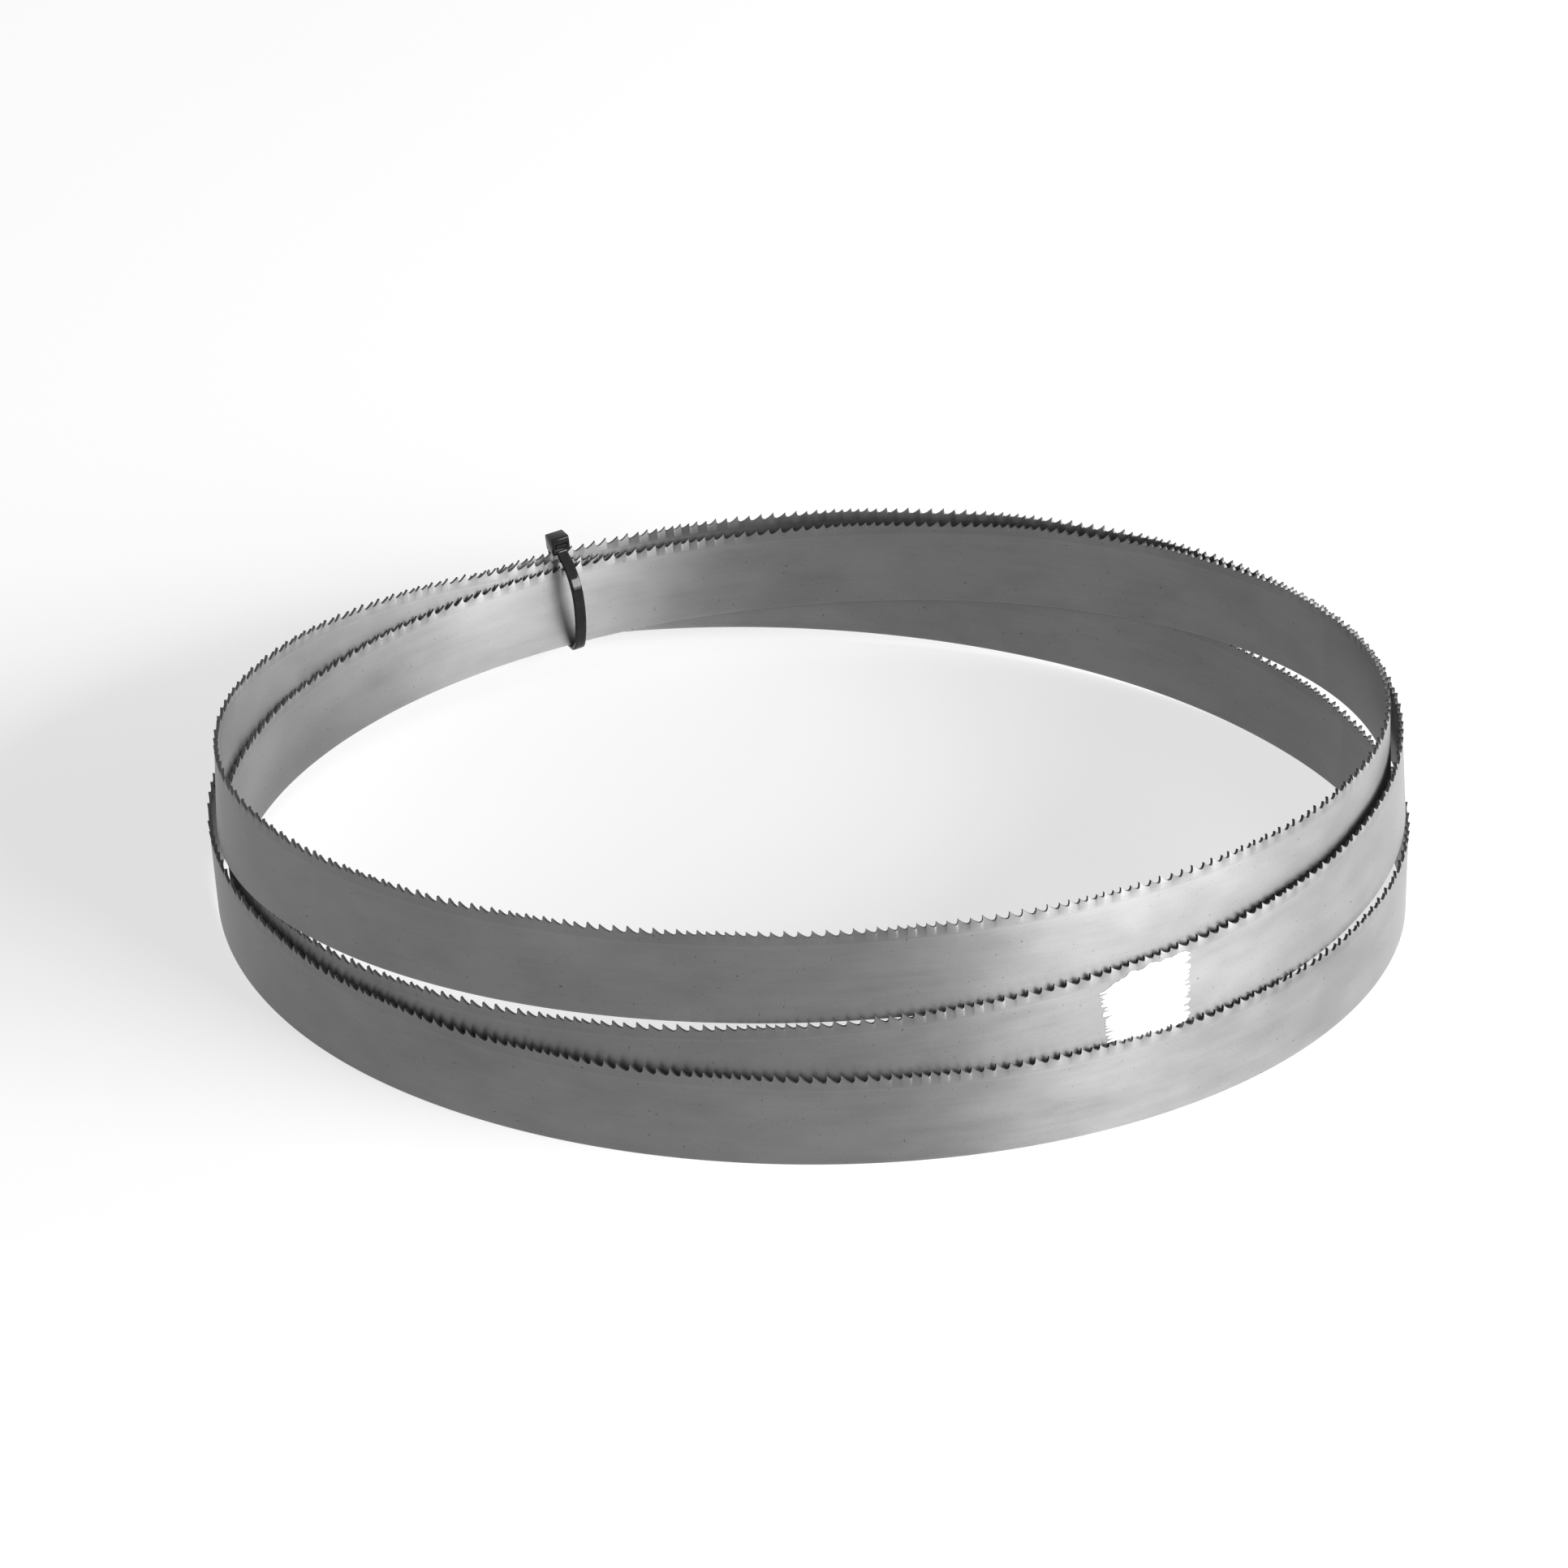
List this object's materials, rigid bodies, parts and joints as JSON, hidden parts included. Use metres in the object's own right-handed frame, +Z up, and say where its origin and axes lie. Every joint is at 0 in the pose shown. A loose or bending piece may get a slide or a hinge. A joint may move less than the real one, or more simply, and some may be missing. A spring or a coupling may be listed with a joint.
{
  "type": "band saw blade",
  "caption": "Welded endless band saw blade with fine set teeth, folded into a flat coil and held by a cable tie.",
  "frame": {"origin": "on the floor, under the middle of the blade's box", "axes": "+Z up along the coil's axis, teeth up; -Y is the front of the picture, the tie is at the back left"},
  "size_m": [0.354, 0.3514, 0.0696],
  "materials": {
    "steel": "satin ground steel band",
    "nylon": "glossy black nylon",
    "label_paper": "matt blank paper"
  },
  "bodies": {
    "root": {"blade": "steel", "cable_tie": "nylon", "paper_label": "label_paper"}
  },
  "joints": []
}
